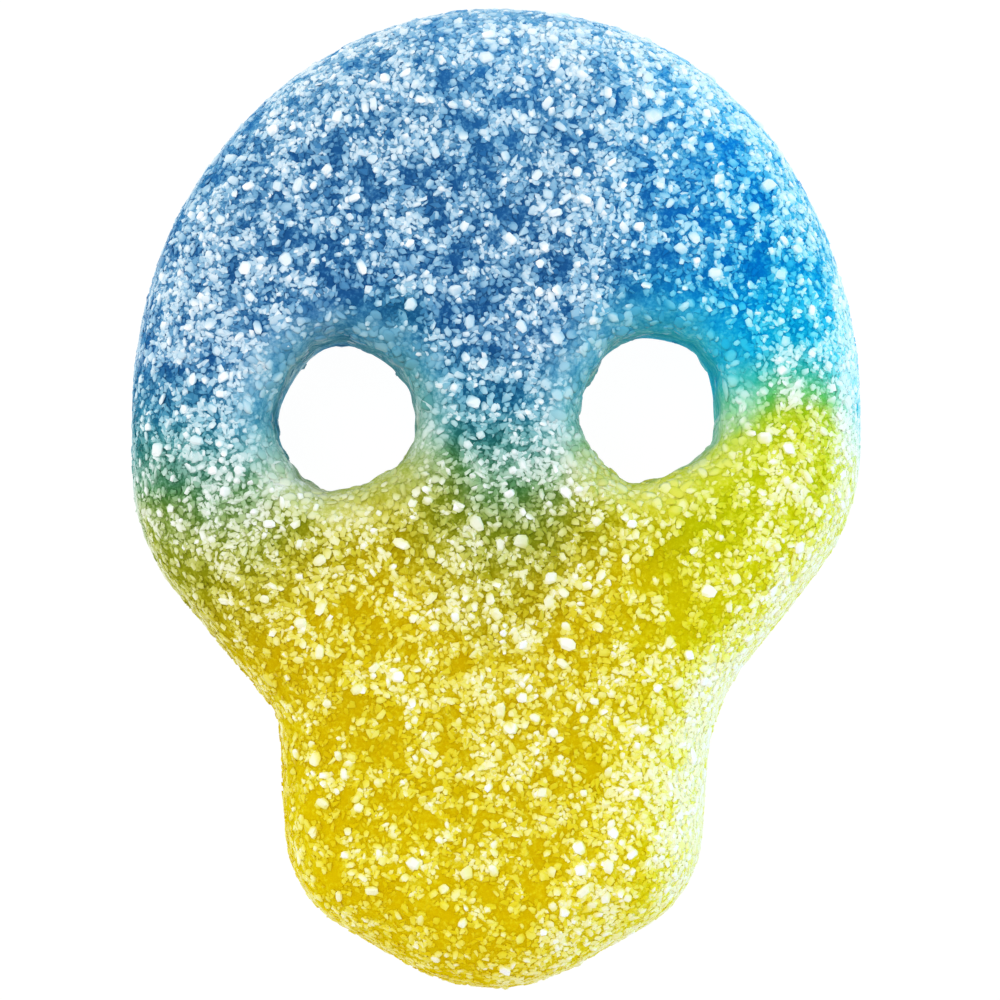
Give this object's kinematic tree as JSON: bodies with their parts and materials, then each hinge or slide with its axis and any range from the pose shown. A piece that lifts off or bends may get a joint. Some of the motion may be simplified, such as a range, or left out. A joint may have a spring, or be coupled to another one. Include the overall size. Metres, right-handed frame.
{
  "type": "sour gummy skull",
  "caption": "Sugar-coated fruit gummy moulded as a skull's face, with two round eye holes right through, lying on its flat moulded back.",
  "frame": {"origin": "under the middle of the skull's box, on the surface that its back lies on", "axes": "+Z out of the face, +Y towards the crown, -Y towards the chin, +X towards the right-hand side of the face as seen from the front"},
  "size_m": [0.0315, 0.0419, 0.0089],
  "materials": {
    "gummy": "translucent fruit gummy, blue at the crown running through teal and green into yellow at the jaw",
    "sugar": "loose coat of clear and white sugar crystals, tinted by the gummy under them"
  },
  "bodies": {
    "root": {"gummy_skull": "gummy"}
  },
  "joints": []
}
